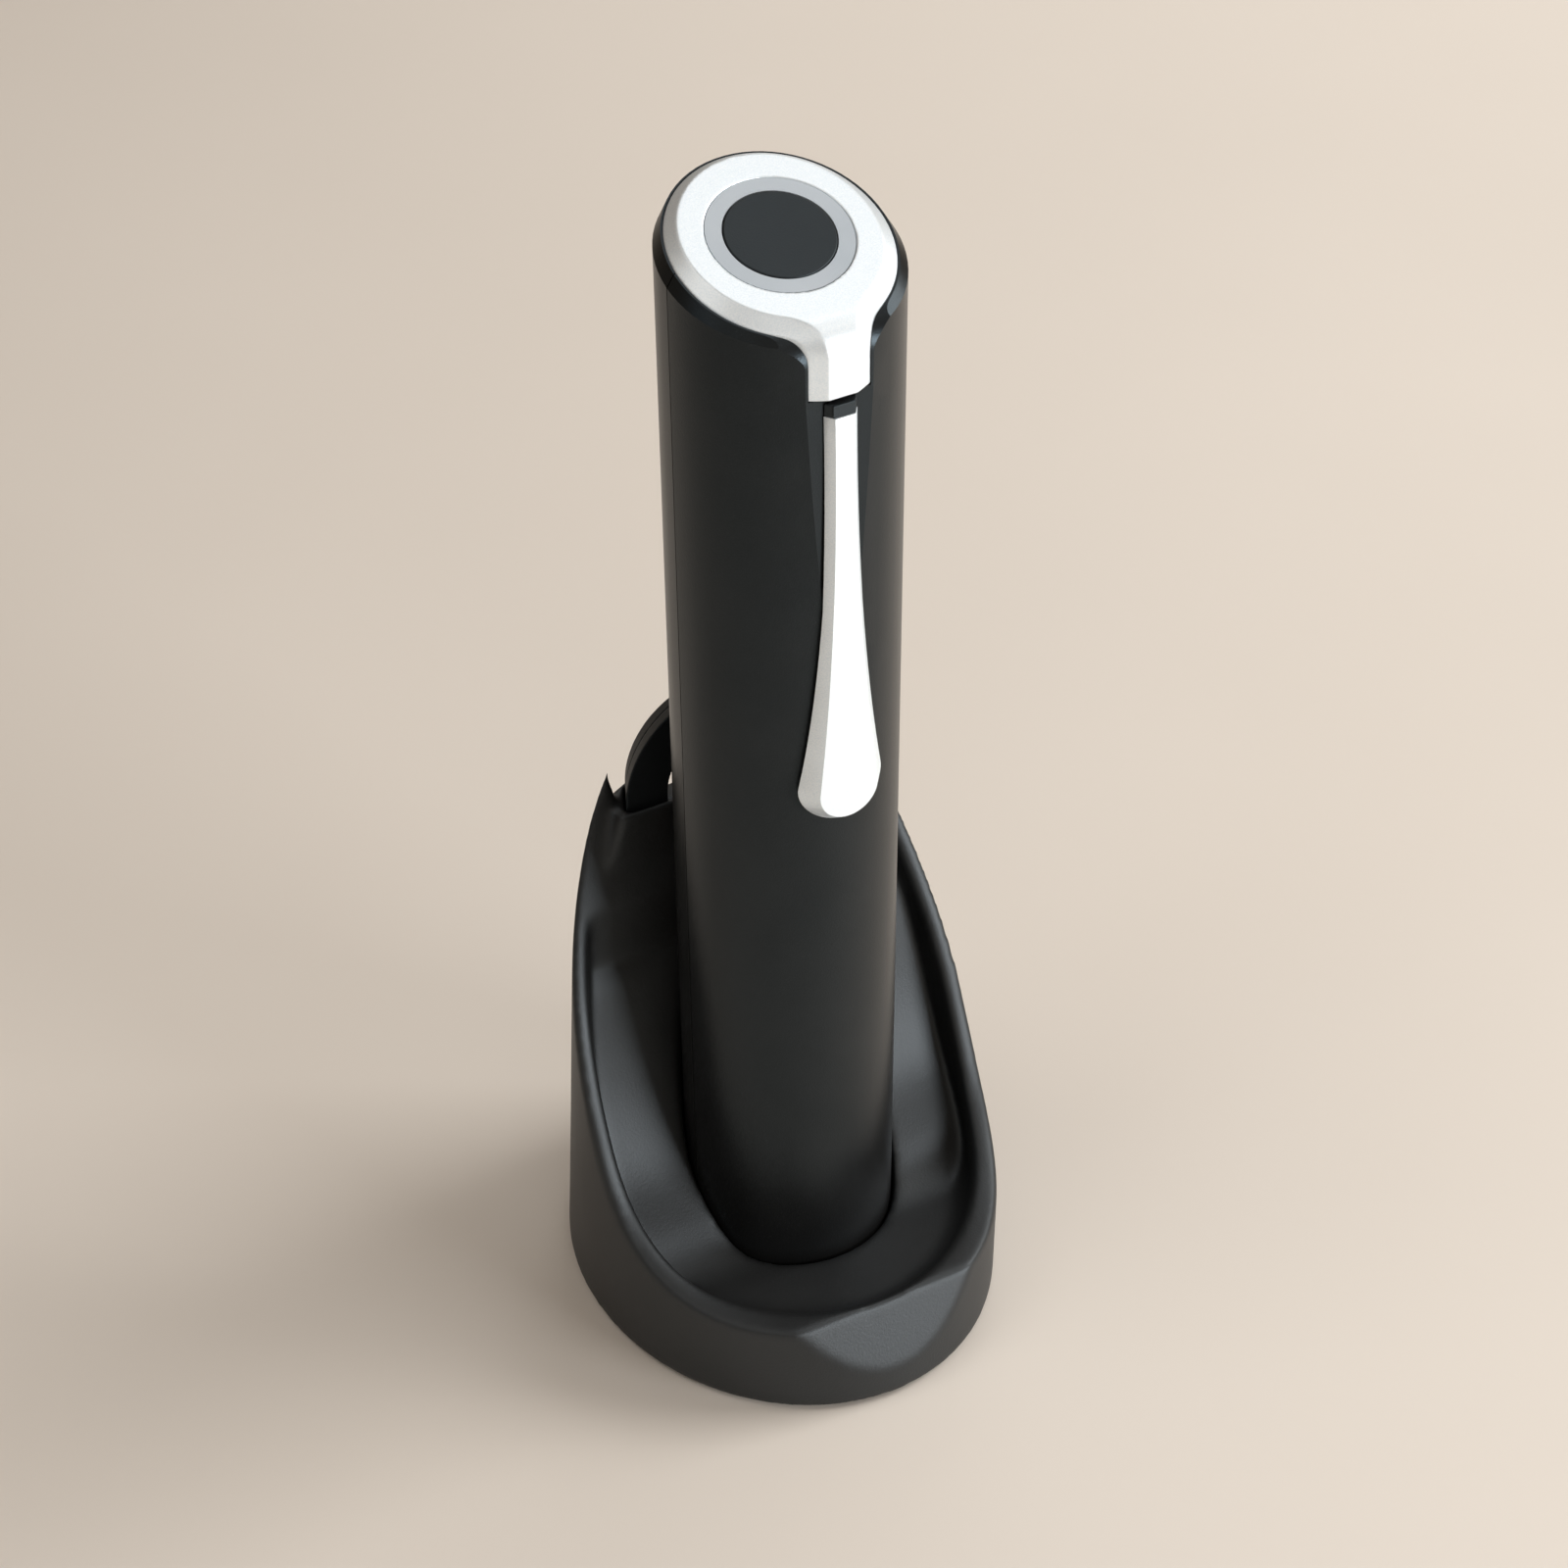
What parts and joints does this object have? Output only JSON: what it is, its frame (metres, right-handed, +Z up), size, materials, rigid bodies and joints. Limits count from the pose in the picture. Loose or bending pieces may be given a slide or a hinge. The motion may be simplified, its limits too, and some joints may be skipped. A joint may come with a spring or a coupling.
{
  "type": "electric wine opener",
  "caption": "Electric wine opener with a silver lever and lit top, standing in a black scoop-shaped charging stand with a foil cutter",
  "frame": {"origin": "on the table, under the middle of the stand's footprint", "axes": "+X to the right as seen from the front (the lever's side), +Y to the high back of the stand, +Z up along the opener's tube"},
  "size_m": [0.1006, 0.118, 0.2948],
  "materials": {
    "stand_plastic": "fine matt texture",
    "tube_plastic": "soft-touch matt",
    "cutter_plastic": "satin",
    "disc_plastic": "matt",
    "silver": "satin silver paint",
    "light_plastic": "pale translucent",
    "inner_plastic": "moulded",
    "gear_plastic": "moulded",
    "board": "solder mask",
    "cell_wrap": "shrink sleeve",
    "steel": "bright",
    "brass": "turned",
    "rubber": "matt"
  },
  "bodies": {
    "base": {"base_shell": "stand_plastic", "base_bottom_plate": "stand_plastic", "base_screws": "steel", "rubber_feet": "rubber", "charging_board": "board", "dc_jack": "inner_plastic", "contact_block": "inner_plastic", "pin_spring_left": "steel", "pin_spring_right": "steel"},
    "charging_pin_left": {"charging_pin_left": "brass"},
    "charging_pin_right": {"charging_pin_right": "brass"},
    "cutter": {"cutter_front_half": "cutter_plastic", "cutter_rear_half": "cutter_plastic", "cutter_pins": "steel"},
    "cutter_wheel_1": {"cutter_wheel_1": "steel"},
    "cutter_wheel_2": {"cutter_wheel_2": "steel"},
    "cutter_wheel_3": {"cutter_wheel_3": "steel"},
    "cutter_wheel_4": {"cutter_wheel_4": "steel"},
    "opener": {"front_shell": "tube_plastic", "rear_shell": "tube_plastic", "shell_screws": "steel", "top_cap": "silver", "light_ring": "light_plastic", "cap_disc": "disc_plastic", "led_board": "board", "leds": "light_plastic", "lever_pin": "steel", "control_board": "board", "drive_switch": "inner_plastic", "battery_holder_lower": "inner_plastic", "battery_cells": "cell_wrap", "battery_holder_upper": "inner_plastic", "motor_can": "steel", "motor_end_cap": "inner_plastic", "gearbox_housing": "inner_plastic", "motor_plate": "steel", "gearbox_cover": "inner_plastic", "gearbox_screws": "steel", "output_bush": "brass", "bottom_collar": "tube_plastic", "charge_contacts": "brass", "neck_guide": "inner_plastic", "cork_sleeve": "inner_plastic"},
    "lever": {"lever": "silver", "lever_post": "inner_plastic", "lever_carrier": "disc_plastic"},
    "switch_button": {"switch_button": "inner_plastic"},
    "output": {"output_carrier": "steel", "worm_chuck": "inner_plastic", "worm": "steel"},
    "planet_2a": {"planet_2a": "gear_plastic"},
    "planet_2b": {"planet_2b": "gear_plastic"},
    "planet_2c": {"planet_2c": "gear_plastic"},
    "planet_1a": {"planet_1a": "gear_plastic"},
    "planet_1b": {"planet_1b": "gear_plastic"},
    "planet_1c": {"planet_1c": "gear_plastic"},
    "intermediate": {"intermediate_carrier": "steel"},
    "motor": {"motor_shaft": "steel", "sun_gear": "brass"}
  },
  "joints": [
    {"name": "opener_lift", "type": "slide", "parent": "base", "child": "opener", "axis": [0, 0, 1], "range_m": [0, 0.15]},
    {"name": "cutter_lift", "type": "slide", "parent": "base", "child": "cutter", "axis": [0, 0, 1], "range_m": [0, 0.06]},
    {"name": "cutter_wheel_1_spin", "type": "hinge", "parent": "cutter", "child": "cutter_wheel_1", "pos_m": [0.01499, 0.027, 0.1415], "axis": [0, 1, 0], "continuous": true},
    {"name": "cutter_wheel_2_spin", "type": "hinge", "parent": "cutter", "child": "cutter_wheel_2", "pos_m": [-0.01499, 0.027, 0.1415], "axis": [0, 1, 0], "continuous": true},
    {"name": "cutter_wheel_3_spin", "type": "hinge", "parent": "cutter", "child": "cutter_wheel_3", "pos_m": [-0.0183, 0.027, 0.121], "axis": [0, 1, 0], "continuous": true},
    {"name": "cutter_wheel_4_spin", "type": "hinge", "parent": "cutter", "child": "cutter_wheel_4", "pos_m": [0.0183, 0.027, 0.121], "axis": [0, 1, 0], "continuous": true},
    {"name": "charging_pin_left_press", "type": "slide", "parent": "base", "child": "charging_pin_left", "axis": [0, 0, 1], "range_m": [-0.0008, 0], "stiffness_N_per_m": 200, "springref_m": 0.002, "deforming": ["pin_spring_left"]},
    {"name": "charging_pin_right_press", "type": "slide", "parent": "base", "child": "charging_pin_right", "axis": [0, 0, 1], "range_m": [-0.0008, 0], "stiffness_N_per_m": 200, "springref_m": 0.002, "deforming": ["pin_spring_right"]},
    {"name": "lever_press", "type": "hinge", "parent": "opener", "child": "lever", "pos_m": [0, -0.0261, 0.255], "axis": [1, 0, 0], "range_deg": [0, 0.48], "stiffness_Nm_per_rad": 12, "springref_deg": -0.23},
    {"name": "switch_travel", "type": "slide", "parent": "opener", "child": "switch_button", "axis": [0, 1, 0], "range_m": [0, 0.0007]},
    {"name": "worm_spin", "type": "hinge", "parent": "opener", "child": "output", "pos_m": [0, -0.0051, 0.1], "axis": [0, 0, 1], "continuous": true},
    {"name": "planet_2a_spin", "type": "hinge", "parent": "output", "child": "planet_2a", "pos_m": [0.0105, -0.0051, 0.118], "axis": [0, 0, 1], "continuous": true},
    {"name": "planet_2b_spin", "type": "hinge", "parent": "output", "child": "planet_2b", "pos_m": [-0.00525, 0.00399, 0.118], "axis": [0, 0, 1], "continuous": true},
    {"name": "planet_2c_spin", "type": "hinge", "parent": "output", "child": "planet_2c", "pos_m": [-0.00525, -0.01419, 0.118], "axis": [0, 0, 1], "continuous": true},
    {"name": "intermediate_spin", "type": "hinge", "parent": "opener", "child": "intermediate", "pos_m": [0, -0.0051, 0.123], "axis": [0, 0, 1], "continuous": true},
    {"name": "planet_1a_spin", "type": "hinge", "parent": "intermediate", "child": "planet_1a", "pos_m": [0.0105, -0.0051, 0.129], "axis": [0, 0, 1], "continuous": true},
    {"name": "planet_1b_spin", "type": "hinge", "parent": "intermediate", "child": "planet_1b", "pos_m": [-0.00525, 0.00399, 0.129], "axis": [0, 0, 1], "continuous": true},
    {"name": "planet_1c_spin", "type": "hinge", "parent": "intermediate", "child": "planet_1c", "pos_m": [-0.00525, -0.01419, 0.129], "axis": [0, 0, 1], "continuous": true},
    {"name": "motor_spin", "type": "hinge", "parent": "opener", "child": "motor", "pos_m": [0, -0.0051, 0.15], "axis": [0, 0, 1], "continuous": true}
  ],
  "couplings": [
    {"joint": "switch_travel", "follows": "lever_press", "m_per_rad": 0.083},
    {"joint": "planet_2a_spin", "follows": "worm_spin", "ratio": -2.6667},
    {"joint": "planet_2b_spin", "follows": "worm_spin", "ratio": -2.6667},
    {"joint": "planet_2c_spin", "follows": "worm_spin", "ratio": -2.6667},
    {"joint": "intermediate_spin", "follows": "worm_spin", "ratio": 5},
    {"joint": "planet_1a_spin", "follows": "worm_spin", "ratio": -13.333},
    {"joint": "planet_1b_spin", "follows": "worm_spin", "ratio": -13.333},
    {"joint": "planet_1c_spin", "follows": "worm_spin", "ratio": -13.333},
    {"joint": "motor_spin", "follows": "worm_spin", "ratio": 25}
  ]
}
